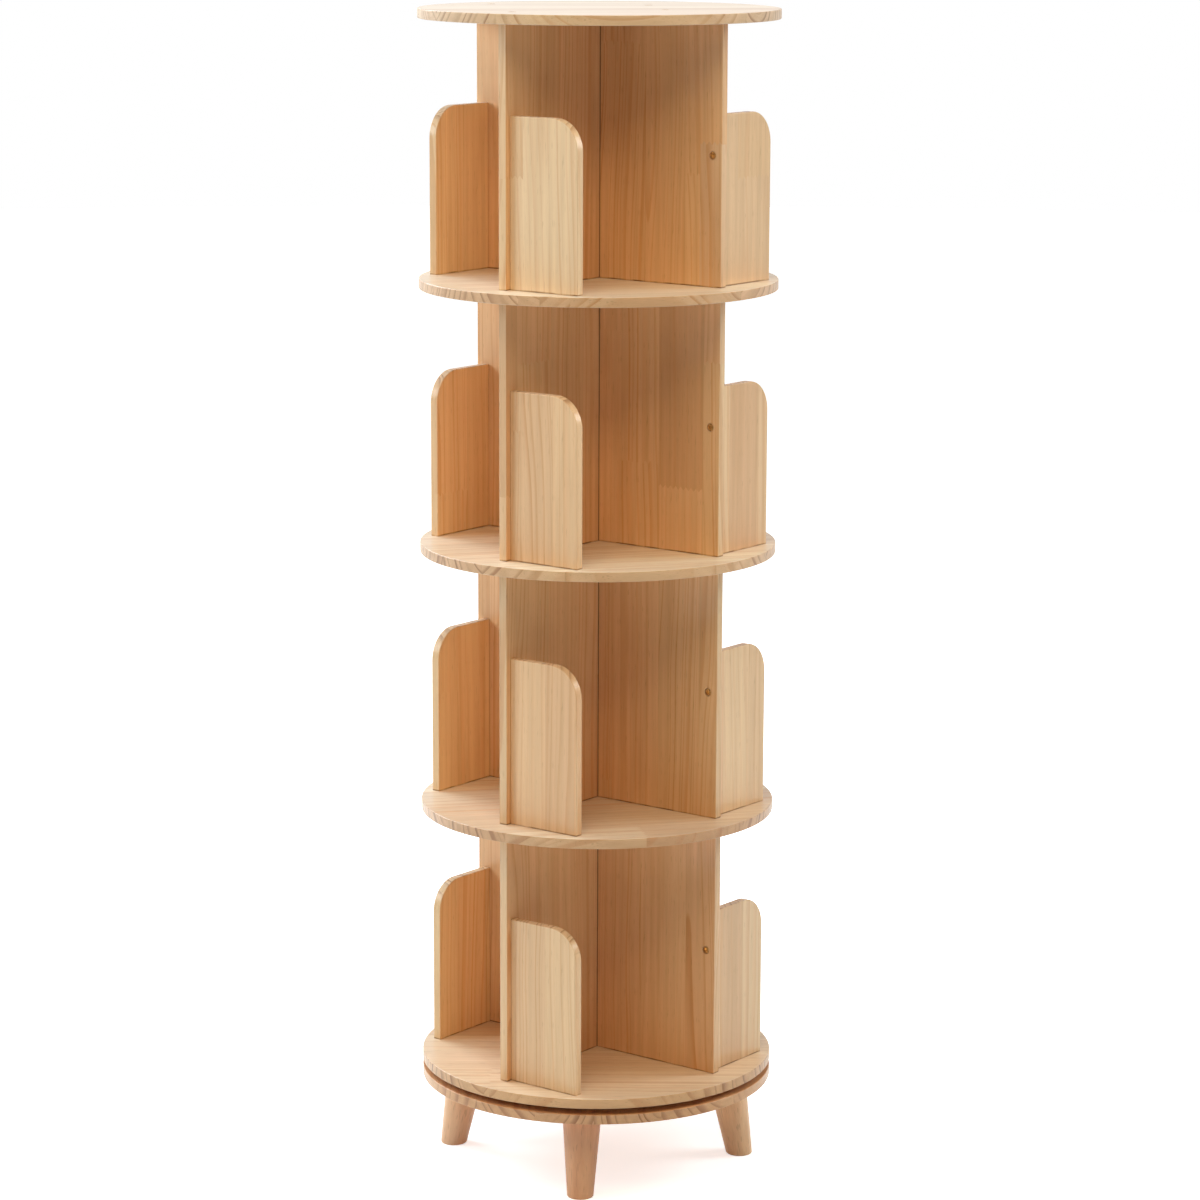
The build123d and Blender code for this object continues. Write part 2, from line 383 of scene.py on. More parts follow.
def buildPineGroup(look):
    tree = bpy.data.node_groups.new("pineRings", "ShaderNodeTree")
    sockets = tree.interface
    sockets.new_socket("Place", in_out="INPUT", socket_type="NodeSocketVector")
    for name in ("End", "Seed", "Planks", "Rings", "Contrast", "Foot", "Corner"):
        sockets.new_socket(name, in_out="INPUT", socket_type="NodeSocketFloat")
    sockets.new_socket("Tint", in_out="INPUT", socket_type="NodeSocketColor")
    sockets.new_socket("Color", in_out="OUTPUT", socket_type="NodeSocketColor")
    for name in ("Rough", "Height"):
        sockets.new_socket(name, in_out="OUTPUT", socket_type="NodeSocketFloat")
    given = tree.nodes.new("NodeGroupInput").outputs
    result = tree.nodes.new("NodeGroupOutput").inputs
    place = splitXyz(tree, given["Place"])
    across, through, along = place
    end, seed, planks = given["End"], given["Seed"], given["Planks"]

    # planks across the board, then pieces along each plank
    plankAt = calc(tree, "MULTIPLY_ADD", across, planks, seed)
    plank = cellsAlong(tree, plankAt, look["plankSpread"])
    plankRandom = splitXyz(tree, plank.outputs["Color"])
    pieceAt = calc(tree, "DIVIDE", calc(tree, "ADD", along, fingers(tree, across)), look["pieceLength"])
    pieceAt = calc(tree, "MULTIPLY_ADD", plankRandom[0], look["pieceShift"], pieceAt)
    piece = cellsAlong(tree, pieceAt, look["pieceSpread"])
    lot = splitXyz(tree, piece.outputs["Color"])

    # distance from the pith of the tree that this piece was cut from
    side = stretch(tree, lot[0], -1.0, 1.0)
    turn = calc(tree, "MULTIPLY_ADD", side, look["turnSpread"] * math.pi, 0.5 * math.pi)
    turn = calc(tree, "MULTIPLY_ADD", calc(tree, "SIGN", side), look["turnLeast"] * math.pi, turn)
    reach = stretch(tree, lot[2], look["pithNear"], look["pithFar"])
    middle = calc(tree, "DIVIDE", calc(tree, "SUBTRACT", plank.outputs["W"], seed), planks)
    fromPith = calc(tree, "SUBTRACT", across, middle)
    fromPith = calc(tree, "SUBTRACT", fromPith, calc(tree, "MULTIPLY", reach, calc(tree, "COSINE", turn)))
    throughPith = calc(tree, "SUBTRACT", through, calc(tree, "MULTIPLY", reach, calc(tree, "SINE", turn)))
    radius = reachOf(tree, fromPith, throughPith)
    runOut = calc(tree, "MULTIPLY", calc(tree, "SUBTRACT", lot[1], 0.5), 2 * look["drift"])
    radius = calc(tree, "MULTIPLY_ADD", along, runOut, radius)
    wander = calc(tree, "SUBTRACT", grainNoise(tree, place, look["wander"], seed), 0.5)
    radius = calc(tree, "MULTIPLY_ADD", wander, look["wanderReach"], radius)

    # growth rings, and how dark each one is
    density = stretch(tree, plankRandom[1], *look["ringSpread"])
    rings = calc(tree, "MULTIPLY", radius, calc(tree, "MULTIPLY", given["Rings"], density))
    uneven = noiseAlong(tree, calc(tree, "ADD", rings, seed), look["unevenScale"])
    rings = calc(tree, "MULTIPLY_ADD", uneven, look["unevenReach"], rings)
    share = calc(tree, "FRACT", rings)
    late = fade(tree, share, *look["lateRise"])
    late = calc(tree, "MULTIPLY", late, fade(tree, share, *look["lateFall"], 1.0, 0.0))
    luck = tree.nodes.new("ShaderNodeTexWhiteNoise")
    luck.noise_dimensions = "1D"
    tree.links.new(calc(tree, "FLOOR", rings), luck.inputs["W"])
    late = calc(tree, "MULTIPLY", late, stretch(tree, luck.outputs["Value"], *look["ringLuck"]))

    # fibres, soft streaks, short resin lines, clouds and bands
    fibre = grainNoise(tree, place, look["fibre"])
    streak = grainNoise(tree, place, look["streak"])
    resin = fade(tree, grainNoise(tree, place, look["resin"]), *look["resinFrom"])
    cloud = grainNoise(tree, place, look["cloud"], seed)
    band = grainNoise(tree, place, look["bands"], seed)
    band = fade(tree, band, *look["bandFrom"], 0.0, look["bandShare"])

    # colour
    color = blendColors(tree, lot[1], look["early"], look["blush"])
    heart = fade(tree, lot[2], *look["heartFrom"], 0.0, look["heartShare"])
    color = blendColors(tree, heart, color, look["heart"])
    color = blendColors(tree, band, color, look["band"])
    contrast = stretch(tree, plankRandom[2], *look["contrastSpread"])
    contrast = calc(tree, "MULTIPLY", given["Contrast"], contrast)
    ringShare = calc(tree, "MULTIPLY", late, blendValues(tree, end, contrast, look["endContrast"]))
    color = blendColors(tree, calc(tree, "MULTIPLY", end, look["endShare"]), color, look["endGrain"])
    color = blendColors(tree, ringShare, color, blendColors(tree, end, look["late"], look["endLate"]))
    color = blendColors(tree, 1.0, color, given["Tint"], "MULTIPLY")

    # light and dark, with the seams between planks
    light = stretch(tree, plankRandom[1], *look["plankLight"])
    patterns = {"streakLight": streak, "fibreLight": fibre, "cloudLight": cloud, "resinLight": resin}
    for name, pattern in patterns.items():
        light = calc(tree, "MULTIPLY", light, stretch(tree, pattern, *look[name]))
    seam = cellsAlong(tree, plankAt, look["plankSpread"], "DISTANCE_TO_EDGE")
    seamAt = calc(tree, "DIVIDE", seam.outputs["Distance"], planks)
    seamLine = fade(tree, seamAt, 0.0, look["seamWidth"], look["seamShade"], 1.0)
    light = calc(tree, "MULTIPLY", light, seamLine)

    # dark lines in the grooves where a board meets its shelf or another board: partly dark joints, partly
    # painted shade in the gaps and inner corners
    groove = look["groove"]
    footLow, footHigh = (groove * part for part in look["footReach"])
    footLine = fade(tree, along, footLow, footHigh, given["Foot"], 0.0)
    # patches along the foot line, where the painted shade is stronger or weaker
    jointPatches = grainNoise(tree, place, look["jointPatches"], seed)
    footLine = calc(tree, "MULTIPLY", footLine, fade(tree, jointPatches, *look["jointPatchFrom"], look["jointPatchLeast"], 1.0))
    cornerEnd = calc(tree, "ADD", given["Corner"], groove)
    cornerLine = fade(tree, calc(tree, "ABSOLUTE", across), given["Corner"], cornerEnd, 1.0, 0.0)
    joint = calc(tree, "MAXIMUM", footLine, cornerLine)
    light = calc(tree, "MULTIPLY", light, stretch(tree, joint, 1.0, look["grooveShade"]))
    warm = joinXyz(tree, light, *(calc(tree, "POWER", light, power) for power in look["warmth"]))
    color = blendColors(tree, 1.0, color, warm, "MULTIPLY")
    tree.links.new(color, result["Color"])

    # finish
    low, high = look["roughness"]
    rough = calc(tree, "MULTIPLY_ADD", fibre, look["fibreRough"], stretch(tree, late, high, low))
    rough = calc(tree, "SUBTRACT", rough, look["fibreRough"] / 2)
    tree.links.new(calc(tree, "MULTIPLY_ADD", end, look["endRough"], rough), result["Rough"])
    height = calc(tree, "MULTIPLY", fibre, look["fibreHeight"])
    height = calc(tree, "MULTIPLY_ADD", late, look["lateHeight"], height)
    height = calc(tree, "MULTIPLY_ADD", seamLine, look["seamHeight"], height)
    tree.links.new(height, result["Height"])
    return tree


pineGroup = buildPineGroup(pineLook)

boardToneAndLight = {  # boards paler or warmer than the rest, partly their own colour and partly painted light and shade, such as the left dividers made paler for light bounced into the left bays
    "tier_4_divider_front": (1.02, 1.08, 1.16, 1.0),
    "tier_4_divider_right": (0.95, 0.97, 0.98, 1.0),
    "tier_4_divider_left": (1.06, 1.12, 1.12, 1.0),
    "tier_3_divider_left": (1.05, 1.04, 1.0, 1.0),
    "tier_2_divider_left": (1.06, 1.06, 1.0, 1.0),
    "tier_1_divider_left": (1.05, 1.06, 0.99, 1.0),
    "tier_2_divider_front": (0.96, 0.93, 0.89, 1.0),
    "tier_1_divider_right": (1.0, 1.05, 1.10, 1.0),
}
noTint = (1.0, 1.0, 1.0, 1.0)

boardBlock = {  # a finger-jointed block of other wood, by its place across and up the board
    "tier_4_wall_left_right": {
        "across": (0.142, 1.0),
        "along": (-1.0, 0.158),
        "tint": (0.97, 0.93, 0.94, 1.0),
    },
    "tier_4_divider_front": {
        "across": (-1.0, 0.018),
        "along": (0.124, 1.0),
        "tint": (0.96, 0.97, 0.99, 1.0),
    },
    "tier_4_divider_right": {
        "across": (0.030, 1.0),
        "along": (0.118, 1.0),
        "tint": (1.0, 0.98, 0.95, 1.0),
    },
}


def blockMask(tree, place, block):  # 1 inside the block, with fingers at its ends
    across, _, along = splitXyz(tree, place)
    along = calc(tree, "ADD", along, fingers(tree, across))
    mask = 1.0
    for value, (low, high) in ((across, block["across"]), (along, block["along"])):
        mask = calc(tree, "MULTIPLY", calc(tree, "GREATER_THAN", value, low), mask)
        mask = calc(tree, "MULTIPLY", calc(tree, "LESS_THAN", value, high), mask)
    return mask


def facingShare(tree, normal, way):  # 1 where the surface faces along a direction or against it
    node = tree.nodes.new("ShaderNodeVectorMath")
    node.operation = "DOT_PRODUCT"
    tree.links.new(normal, node.inputs[0])
    node.inputs[1].default_value = way
    return calc(tree, "ABSOLUTE", node.outputs["Value"])


def pineBoard(node, across, along, middle, seed, lot):
    material, tree, shader = newMaterial(node + "_pine")
    through = along.cross(across)
    turn = Matrix((across, through, along))
    normal, spot = placed(tree, turn, -(turn @ Vector(middle)))
    rings = tree.nodes.new("ShaderNodeGroup")
    rings.node_tree = pineGroup
    tree.links.new(spot, rings.inputs["Place"])
    sawn = fade(tree, facingShare(tree, normal, along), *pineLook["endFacing"])
    tree.links.new(sawn, rings.inputs["End"])
    rings.inputs["Seed"].default_value = seed
    for name in ("planks", "rings", "contrast", "foot", "corner"):
        rings.inputs[name.capitalize()].default_value = lot[name]
    # the board's tint is partly its own colour and partly painted light and shade; the face tint adds a
    # painted reflection on the discs' faces and painted shade on the base and the walls
    tint = boardToneAndLight.get(node, noTint)
    edgeTint = [part * more for part, more in zip(tint, lot["edgeTint"])]
    faceToneAndLight = [part * more for part, more in zip(tint, lot["faceToneAndLight"])]
    if node in boardBlock:
        share = blockMask(tree, spot, boardBlock[node])
        tree.links.new(calc(tree, "MULTIPLY_ADD", share, pineLook["blockShift"], seed), rings.inputs["Seed"])
        tints = (faceToneAndLight, boardBlock[node]["tint"])
    else:
        share = fade(tree, facingShare(tree, normal, through), *pineLook["sandedFacing"])
        tints = (edgeTint, faceToneAndLight)
    tree.links.new(blendColors(tree, share, *tints), rings.inputs["Tint"])
    tree.links.new(rings.outputs["Color"], shader.inputs["Base Color"])
    tree.links.new(rings.outputs["Rough"], shader.inputs["Roughness"])
    shader.inputs["IOR"].default_value = pineLook["ior"]
    shader.inputs["Specular IOR Level"].default_value = pineLook["specular"]
    shader.inputs["Coat Weight"].default_value = lot["coat"]
    shader.inputs["Coat Roughness"].default_value = pineLook["coatRoughness"]
    shader.inputs["Sheen Weight"].default_value = pineLook["sheen"]
    shader.inputs["Sheen Roughness"].default_value = pineLook["sheenRoughness"]
    bumpFrom(tree, shader, rings.outputs["Height"], pineLook)
    return material


print("pine rings wired")


# boards: the CAD shapes with eased edges, and round seats where a screw head shows

easing = {
    "offset": 0.0009,
    "segments": 3,
    "sharpFrom": 30,  # degrees between two faces
    "band": 0.002,  # edges this close to a rim or a slot belong to it
}
screwSeat = {"clearance": 0.0006, "depth": 0.0024, "sides": 40, "boardHead": 0.004, "ringHead": 0.003}


def easeEdges(piece, onOutline):
    sharpFrom = math.radians(easing["sharpFrom"])

    def isSharp(edge):
        return len(edge.link_faces) == 2 and edge.calc_face_angle() > sharpFrom

    editAll(piece)
    selectEdges(piece, lambda edge: isSharp(edge) and onOutline(edge))
    roundEdges(easing["offset"], easing["segments"])
    objectMode()


def cutSeats(piece, heads, headRadius):
    cutters = []
    for middle, direction, _ in heads:
        bpy.ops.object.select_all(action="DESELECT")
        bpy.ops.mesh.primitive_cylinder_add(
            vertices=screwSeat["sides"],
            radius=headRadius + screwSeat["clearance"],
            depth=2 * screwSeat["depth"],  # it stands as far out of the wood as it goes in
            location=middle,
            rotation=direction.to_track_quat("Z", "Y").to_euler(),
        )
        cutters.append(bpy.context.active_object)
    for cutter in cutters:
        cutter.select_set(True)
    bpy.ops.object.join()
    cutter = bpy.context.active_object
    applyModifier(piece, "BOOLEAN", operation="DIFFERENCE", object=cutter, solver="EXACT")
    activate(cutter)
    bpy.ops.object.delete()


def islands(node):  # the points of each separate solid in a CAD node
    mesh = bmesh.new()
    mesh.from_mesh(nodes[node].data)
    bmesh.ops.remove_doubles(mesh, verts=mesh.verts, dist=weld)
    found, seen = [], set()
    for start in mesh.verts:
        if start in seen:
            continue
        seen.add(start)
        island, front = [], [start]
        while front:
            vert = front.pop()
            island.append(vert.co.copy())
            fresh = [link.other_vert(vert) for link in vert.link_edges]
            fresh = [other for other in fresh if other not in seen]
            seen.update(fresh)
            front.extend(fresh)
        found.append(island)
    mesh.free()
    return found


def boxOf(points):
    return Vector(map(min, zip(*points))), Vector(map(max, zip(*points)))


def screwHeads(node):  # (middle of the head's face, direction, length) of each screw in a CAD group
    heads = []
    for points in islands(node):
        low, high = boxOf(points)
        middle, size = (low + high) / 2, high - low
        axis = max(range(3), key=lambda way: size[way])
        reach = []
        for level in (low[axis], high[axis]):
            ring = [point for point in points if abs(point[axis] - level) < near]
            reach.append(max((point - middle).length for point in ring))
        headLow = reach[0] > reach[1]
        middle[axis] = low[axis] if headLow else high[axis]
        direction = Vector((0, 0, 0))
        direction[axis] = 1.0 if headLow else -1.0
        heads.append((middle, direction, size[axis]))
    return heads


def boardWays(low, high):  # the axes along a board's length and its thickness, and the first as a direction
    longWay = 0 if high.x - low.x > high.y - low.y else 1
    across = Vector((1, 0, 0)) if longWay == 0 else Vector((0, 1, 0))
    return longWay, 1 - longWay, across


# the discs: the base, the shelves and the top

discLot = {  # planks and growth rings to a metre
    "planks": 15.0,
    "rings": 105.0,
    "contrast": 0.74,
    "coat": 0.45,
    "seed": 4.0,
    "seedStep": 7.3,
    "foot": 0.0,
    "corner": -1.0,
}
discLook = {  # the way the planks run, in degrees from +X, and tints of the sawn rim and the sanded faces
    # face tints are painted light: paler and bluer on the top and the shelves, a painted reflection of a
    # bright room seen at a low angle; darker on the base, painted shade under the lowest shelf
    "top_disc": {"grain": 46.5, "edgeTint": (0.93, 0.97, 1.02, 1.0), "faceToneAndLight": (0.90, 1.09, 1.51, 1.0)},
    "shelf_4": {"grain": 53.5, "edgeTint": (0.94, 0.90, 0.89, 1.0), "faceToneAndLight": (0.99, 1.26, 1.72, 1.0)},
    "shelf_3": {"grain": 52.5, "edgeTint": (0.94, 0.90, 0.88, 1.0), "faceToneAndLight": (0.99, 1.22, 1.63, 1.0)},
    "shelf_2": {"grain": 49.5, "edgeTint": (0.93, 0.88, 0.85, 1.0), "faceToneAndLight": (1.00, 1.23, 1.65, 1.0)},
    "shelf_1": {"grain": 36.5, "edgeTint": (0.86, 0.77, 0.67, 1.0), "faceToneAndLight": (0.98, 1.12, 1.39, 1.0)},
    "base_disc": {"grain": -55.0, "edgeTint": (0.84, 0.71, 0.61, 1.0), "faceToneAndLight": (0.80, 0.56, 0.40, 1.0)},
}


def makeDisc(node, seed):
    low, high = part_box(node)
    rim = (high.x - low.x) / 2 - easing["band"]
    piece = newCopy(node)
    easeEdges(piece, lambda edge: all(vert.co.xy.length > rim for vert in edge.verts))
    if node == "top_disc":
        cutSeats(piece, screwHeads("top_disc_screws"), screwSeat["boardHead"])
    if node == "base_disc":
        cutSeats(piece, screwHeads("outer_ring_screws"), screwSeat["ringHead"])
    smoothOff(piece)
    angle = math.radians(discLook[node]["grain"])
    along = Vector((math.cos(angle), math.sin(angle), 0))
    middle = (0, 0, (low.z + high.z) / 2)
    material = pineBoard(node, upward.cross(along), along, middle, seed, discLot | discLook[node])
    settle(piece, node, material)


for index, node in enumerate(discLook):
    makeDisc(node, discLot["seed"] + discLot["seedStep"] * index)
print("discs done")

# the crosses: two boards to a tier

wallLot = {
    "planks": 17.0,
    "rings": 150.0,
    "contrast": 0.62,
    "coat": 0.45,
    "seed": 60.0,
    "tierStep": 11.7,
    "boardStep": 5.1,
    "foot": 1.0,
    "corner": 0.0053,
    "edgeTint": noTint,
    # painted shade: the faces of the walls, which stand in the bays, warmer and darker in green and blue
    "faceToneAndLight": (1.03, 0.92, 0.82, 1.0),
}
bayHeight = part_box("shelf_2")[0].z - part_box("shelf_1")[1].z
dividerHeads = screwHeads("divider_screws")


def makeWall(node, seed):
    low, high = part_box(node)
    longWay, thinWay, across = boardWays(low, high)
    foot = high.z - bayHeight
    slotReach = high[thinWay] + easing["band"]
    outline = ((0, (low.x, high.x)), (1, (low.y, high.y)), (2, (foot, high.z)))
    piece = newCopy(node)

    def onOutline(edge):
        first, second = (vert.co for vert in edge.verts)
        fixed = 0
        for axis, levels in outline:
            fixed += any(max(abs(first[axis] - level), abs(second[axis] - level)) < near for level in levels)
        isUpright = (first - second).xy.length < near
        onFace = abs(abs(first[thinWay]) - high[thinWay]) < near
        atSlot = isUpright and onFace and abs(first[longWay]) < slotReach  # a mouth of the slot
        return fixed >= 2 or atSlot

    easeEdges(piece, onOutline)
    heads = [head for head in dividerHeads if low.z < head[0].z < high.z and abs(head[1][thinWay]) > 0.5]
    cutSeats(piece, heads, screwSeat["boardHead"])
    smoothOff(piece)
    material = pineBoard(node, across, upward, (0, 0, foot), seed, wallLot)
    settle(piece, node, material)


for tier in range(1, tierCount + 1):
    for index, facing in enumerate(("left_right", "front_back")):
        seed = wallLot["seed"] + wallLot["tierStep"] * tier + wallLot["boardStep"] * index
        makeWall(f"tier_{tier}_wall_{facing}", seed)
print("crosses done")

# the dividers, each with one rounded corner

dividerLot = {
    "planks": 21.0,
    "rings": 140.0,
    "contrast": 0.56,
    "coat": 0.45,
    "seed": 200.0,
    "tierStep": 13.9,
    "boardStep": 3.7,
    "foot": 1.0,
    "corner": 0.0001,
    "edgeTint": noTint,
    "faceToneAndLight": noTint,
}
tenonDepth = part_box("shelf_1")[1].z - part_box("tier_1_divider_front")[0].z


def makeDivider(node, seed):
    low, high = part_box(node)
    longWay, thinWay, across = boardWays(low, high)
    foot = low.z + tenonDepth
    piece = newCopy(node)

    def onOutline(edge):  # round both faces, and not on the tenon
        first, second = (vert.co for vert in edge.verts)
        if min(first.z, second.z) < foot - near:
            return False
        levels = (low[thinWay], high[thinWay])
        return any(max(abs(first[thinWay] - level), abs(second[thinWay] - level)) < near for level in levels)

    easeEdges(piece, onOutline)
    smoothOff(piece)
    root = (low + high) / 2
    root[longWay] = min(low[longWay], high[longWay], key=abs)  # the edge on the wall
    root.z = foot
    material = pineBoard(node, across, upward, root, seed, dividerLot)
    settle(piece, node, material)


for tier in range(1, tierCount + 1):
    for index, arm in enumerate(armNames):
        seed = dividerLot["seed"] + dividerLot["tierStep"] * tier + dividerLot["boardStep"] * index
        makeDivider(f"tier_{tier}_divider_{arm}", seed)
print("dividers done")

# the legs: turned tapers of a plain hardwood, cut level at both ends

legLook = {
    "count": 4,
    "seedStep": 3.1,
    "seedShift": (1.0, 0.7, 0.0),  # each leg is cut from another place in the wood
    "sides": 72,
    "footEase": 0.0016,
    "easeSegments": 4,
    "footBand": (0.001, 0.004),  # over the floor, where the CAD leg's chamfer ends
    "pale": (0.84, 0.515, 0.30, 1.0),
    "deep": (0.73, 0.405, 0.225, 1.0),
    "deepFrom": (0.30, 0.72),
    "fleck": (0.40, 0.21, 0.115, 1.0),
    "fleckFrom": (0.66, 0.76),
    "fleckShare": 0.35,
    "fleckHeight": -0.5,
    # painted light and shade: the side legs paler where side light and floor bounce reach them, the front leg
    # darker in the shadow of the base
    "paintedLegLight": {"leg_1": (1.17, 1.26, 1.24), "leg_3": (1.13, 1.12, 1.08), "leg_4": (0.89, 0.78, 0.71)},
    "light": (0.90, 1.10),
    # noise along the grain, as for the pine
    "clouds": (0.08, 0.0, 90.0, 3.0, 0.55),
    "fibres": (0.04, 0.0, 900.0, 2.0, 0.6),
    "flecks": (0.10, 0.0, 620.0, 0.0, 0.5),
    "roughness": (0.36, 0.52),
    "bumpStrength": 0.12,
    "bumpDistance": 0.0002,
}


def legWood(node, along, middle, seed):
    material, tree, shader = newMaterial(node + "_hardwood")
    across = along.orthogonal().normalized()
    turn = Matrix((across, along.cross(across), along))
    shift = Vector(legLook["seedShift"]) * seed - turn @ middle
    place = splitXyz(tree, placed(tree, turn, shift)[1])
    cloud = grainNoise(tree, place, legLook["clouds"])
    fibre = grainNoise(tree, place, legLook["fibres"])
    fleck = fade(tree, grainNoise(tree, place, legLook["flecks"]), *legLook["fleckFrom"])
    color = blendColors(tree, fade(tree, cloud, *legLook["deepFrom"]), legLook["pale"], legLook["deep"])
    color = blendColors(tree, calc(tree, "MULTIPLY", fleck, legLook["fleckShare"]), color, legLook["fleck"])
    light = stretch(tree, fibre, *legLook["light"])
    # painted light and shade of each leg
    paintedLegLight = legLook["paintedLegLight"].get(node, (1.0, 1.0, 1.0))
    shade = joinXyz(tree, *(calc(tree, "MULTIPLY", light, part) for part in paintedLegLight))
    color = blendColors(tree, 1.0, color, shade, "MULTIPLY")
    tree.links.new(color, shader.inputs["Base Color"])
    tree.links.new(stretch(tree, fibre, *legLook["roughness"]), shader.inputs["Roughness"])
    bumpFrom(tree, shader, calc(tree, "MULTIPLY_ADD", fleck, legLook["fleckHeight"], fibre), legLook)
    return material


def levelRing(node, low, high):  # middle of the CAD points between two heights, and their reach sideways
    ring = [vert.co for vert in nodes[node].data.vertices if low <= vert.co.z <= high]
    middle = sum(boxOf(ring), Vector()) / 2
    sideways = Vector((-middle.y, middle.x, 0)).normalized()  # square to the lean
    return middle, max(abs(point.dot(sideways)) for point in ring)


def makeLeg(node, seed):
    low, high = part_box(node)
    footMiddle, footRadius = levelRing(node, *(low.z + part for part in legLook["footBand"]))
    topMiddle, topRadius = levelRing(node, high.z - near, high.z)
    lean = topMiddle - footMiddle
    spare = topRadius  # beyond each level cut
    slope = (topRadius - footRadius) / lean.length
    bpy.ops.object.select_all(action="DESELECT")
    bpy.ops.mesh.primitive_cone_add(
        vertices=legLook["sides"],
        radius1=footRadius - slope * spare,
        radius2=topRadius + slope * spare,
        depth=lean.length + 2 * spare,
        location=(footMiddle + topMiddle) / 2,
        rotation=lean.to_track_quat("Z", "Y").to_euler(),
    )
    piece = bpy.context.active_object
    piece.name = node + "_taper"
    bpy.ops.object.transform_apply(location=True, rotation=True, scale=True)
    for level, clearAbove in ((high.z, True), (low.z, False)):
        editAll(piece)
        bpy.ops.mesh.bisect(
            plane_co=(0, 0, level),
            plane_no=(0, 0, 1),
            use_fill=True,
            clear_outer=clearAbove,
            clear_inner=not clearAbove,
        )
        objectMode()
    editAll(piece)
    selectEdges(piece, lambda edge: all(abs(vert.co.z - low.z) < near for vert in edge.verts))
    roundEdges(legLook["footEase"], legLook["easeSegments"])
    objectMode()
    smoothOff(piece)
    material = legWood(node, lean.normalized(), footMiddle, seed)
    settle(piece, node, material)


for index in range(1, legLook["count"] + 1):
    makeLeg(f"leg_{index}", legLook["seedStep"] * index)
print("legs done")

# metals

metalForm = {
    "plateDetail": (3.0, 0.6),  # detail and roughness of the noise
    "turnedDetail": 2.0,
    "dullFrom": (0.35, 0.65),
    "bumpStrength": 0.08,
    "bumpDistance": 0.0001,
}
bronzeLook = {
    "bright": (0.74, 0.47, 0.19, 1.0),
    "dull": (0.38, 0.21, 0.075, 1.0),
    "roughness": (0.22, 0.40),
    "grain": 420.0,
}
steelLook = {
    "bright": (0.66, 0.66, 0.65, 1.0),
    "dull": (0.46, 0.46, 0.47, 1.0),
    "roughness": (0.24, 0.42),
    "grain": 520.0,
}
ringLook = {
    "bright": (0.74, 0.75, 0.76, 1.0),
    "dull": (0.58, 0.59, 0.61, 1.0),
    "roughness": (0.26, 0.44),
    "grain": 3500.0,
}
ballLook = {
    "bright": (0.72, 0.72, 0.73, 1.0),
    "dull": (0.60, 0.60, 0.62, 1.0),
    "roughness": (0.05, 0.14),
    "grain": 300.0,
}


def platedMetal(name, look, turned=False):
    material, tree, shader = newMaterial(name)
    place = tree.nodes.new("ShaderNodeTexCoord").outputs["Object"]
    if turned:  # fine tool lines round the turning axis
        x, y, _ = splitXyz(tree, place)
        grain = noiseAlong(tree, reachOf(tree, x, y), look["grain"], metalForm["turnedDetail"])
    else:
        grain = noise(tree, place, look["grain"], *metalForm["plateDetail"])
    color = blendColors(tree, fade(tree, grain, *metalForm["dullFrom"]), look["bright"], look["dull"])
    tree.links.new(color, shader.inputs["Base Color"])
    tree.links.new(stretch(tree, grain, *look["roughness"]), shader.inputs["Roughness"])
    shader.inputs["Metallic"].default_value = 1.0
    bumpFrom(tree, shader, grain, metalForm)
    return material


# screws: round countersunk heads with hex sockets, in place of each CAD group

screwMetal = {
    "bronze": platedMetal("bronzePlate", bronzeLook),
    "screw_steel": platedMetal("zincSteel", steelLook),
}
screwSizes = {  # head, shank and socket are diameters
    "divider_screws": {"head": 0.0080, "shank": 0.0043, "socket": 0.0046, "slot": "bronze"},
    "top_disc_screws": {"head": 0.0080, "shank": 0.0034, "socket": 0.0046, "slot": "bronze"},
    "shelf_screws": {"head": 0.0069, "shank": 0.0034, "socket": 0.0036, "slot": "screw_steel"},
    "bottom_shelf_screws": {"head": 0.0069, "shank": 0.0034, "socket": 0.0036, "slot": "screw_steel"},
    "inner_ring_screws": {"head": 0.0051, "shank": 0.0025, "socket": 0.0027, "slot": "screw_steel"},
    "outer_ring_screws": {"head": 0.0060, "shank": 0.0025, "socket": 0.0030, "slot": "screw_steel"},
    "leg_screws": {"head": 0.0095, "shank": 0.0051, "socket": 0.0050, "slot": "screw_steel"},
}
screwForm = {
    "sides": 32,
    "rimEase": 0.0003,
    "rimSegments": 2,
    "rimBand": 0.98,  # edges beyond this share of the head's radius are its rim
    "sink": 0.0002,  # below the wood's face
    "socketSides": 6,
    "socketDepth": 0.45,  # by the socket's width
    "socketBand": 1.05,  # edges within this share of the socket's radius are its mouth
    "pointShare": 0.3,  # of the shank's width
    "sharpFrom": 30,
}


